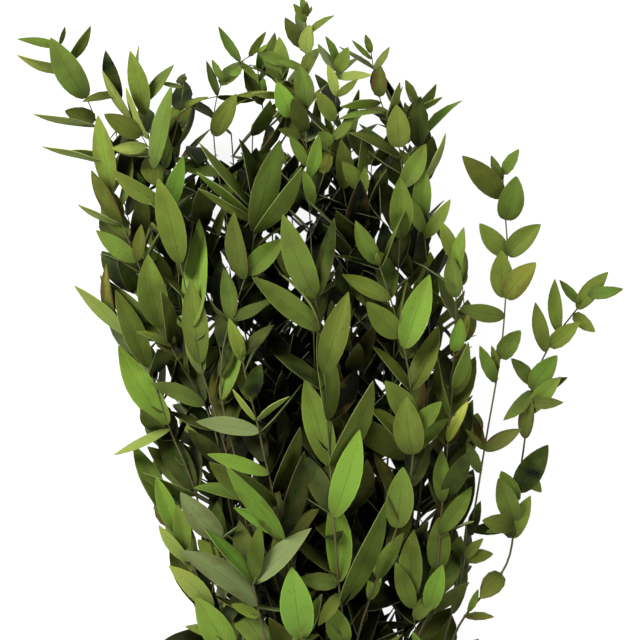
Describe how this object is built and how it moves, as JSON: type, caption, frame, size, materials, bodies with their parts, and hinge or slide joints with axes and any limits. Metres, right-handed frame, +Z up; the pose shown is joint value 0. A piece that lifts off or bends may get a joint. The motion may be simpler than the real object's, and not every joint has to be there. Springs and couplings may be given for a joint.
{
  "type": "dried foliage bouquet",
  "caption": "Tied bunch of dried leafy eucalyptus stems lying flat, with small paired leaves, bare stem ends and a wound twine tie.",
  "frame": {"origin": "middle of the bounding box's underside, on the surface that the bunch lies on", "axes": "+Y along the bunch from its cut stem ends to its leafy tips, +Z up from the surface, +X to the right seen from above with the tips away"},
  "size_m": [0.3022, 0.6516, 0.0975],
  "materials": {
    "foliage": "matte",
    "twine": "matte"
  },
  "bodies": {
    "root": {"leafy_stem_01": "foliage", "leafy_stem_02": "foliage", "leafy_stem_03": "foliage", "leafy_stem_04": "foliage", "leafy_stem_05": "foliage", "leafy_stem_06": "foliage", "leafy_stem_07": "foliage", "leafy_stem_08": "foliage", "leafy_stem_09": "foliage", "leafy_stem_10": "foliage", "leafy_stem_11": "foliage", "leafy_stem_12": "foliage", "leafy_stem_13": "foliage", "leafy_stem_14": "foliage", "leafy_stem_15": "foliage", "leafy_stem_16": "foliage", "leafy_stem_17": "foliage", "leafy_stem_18": "foliage", "leafy_stem_19": "foliage", "leafy_stem_20": "foliage", "leafy_stem_21": "foliage", "leafy_stem_22": "foliage", "leafy_stem_23": "foliage", "leafy_stem_24": "foliage", "leafy_stem_25": "foliage", "leafy_stem_26": "foliage", "leafy_stem_27": "foliage", "tie": "twine"}
  },
  "joints": []
}
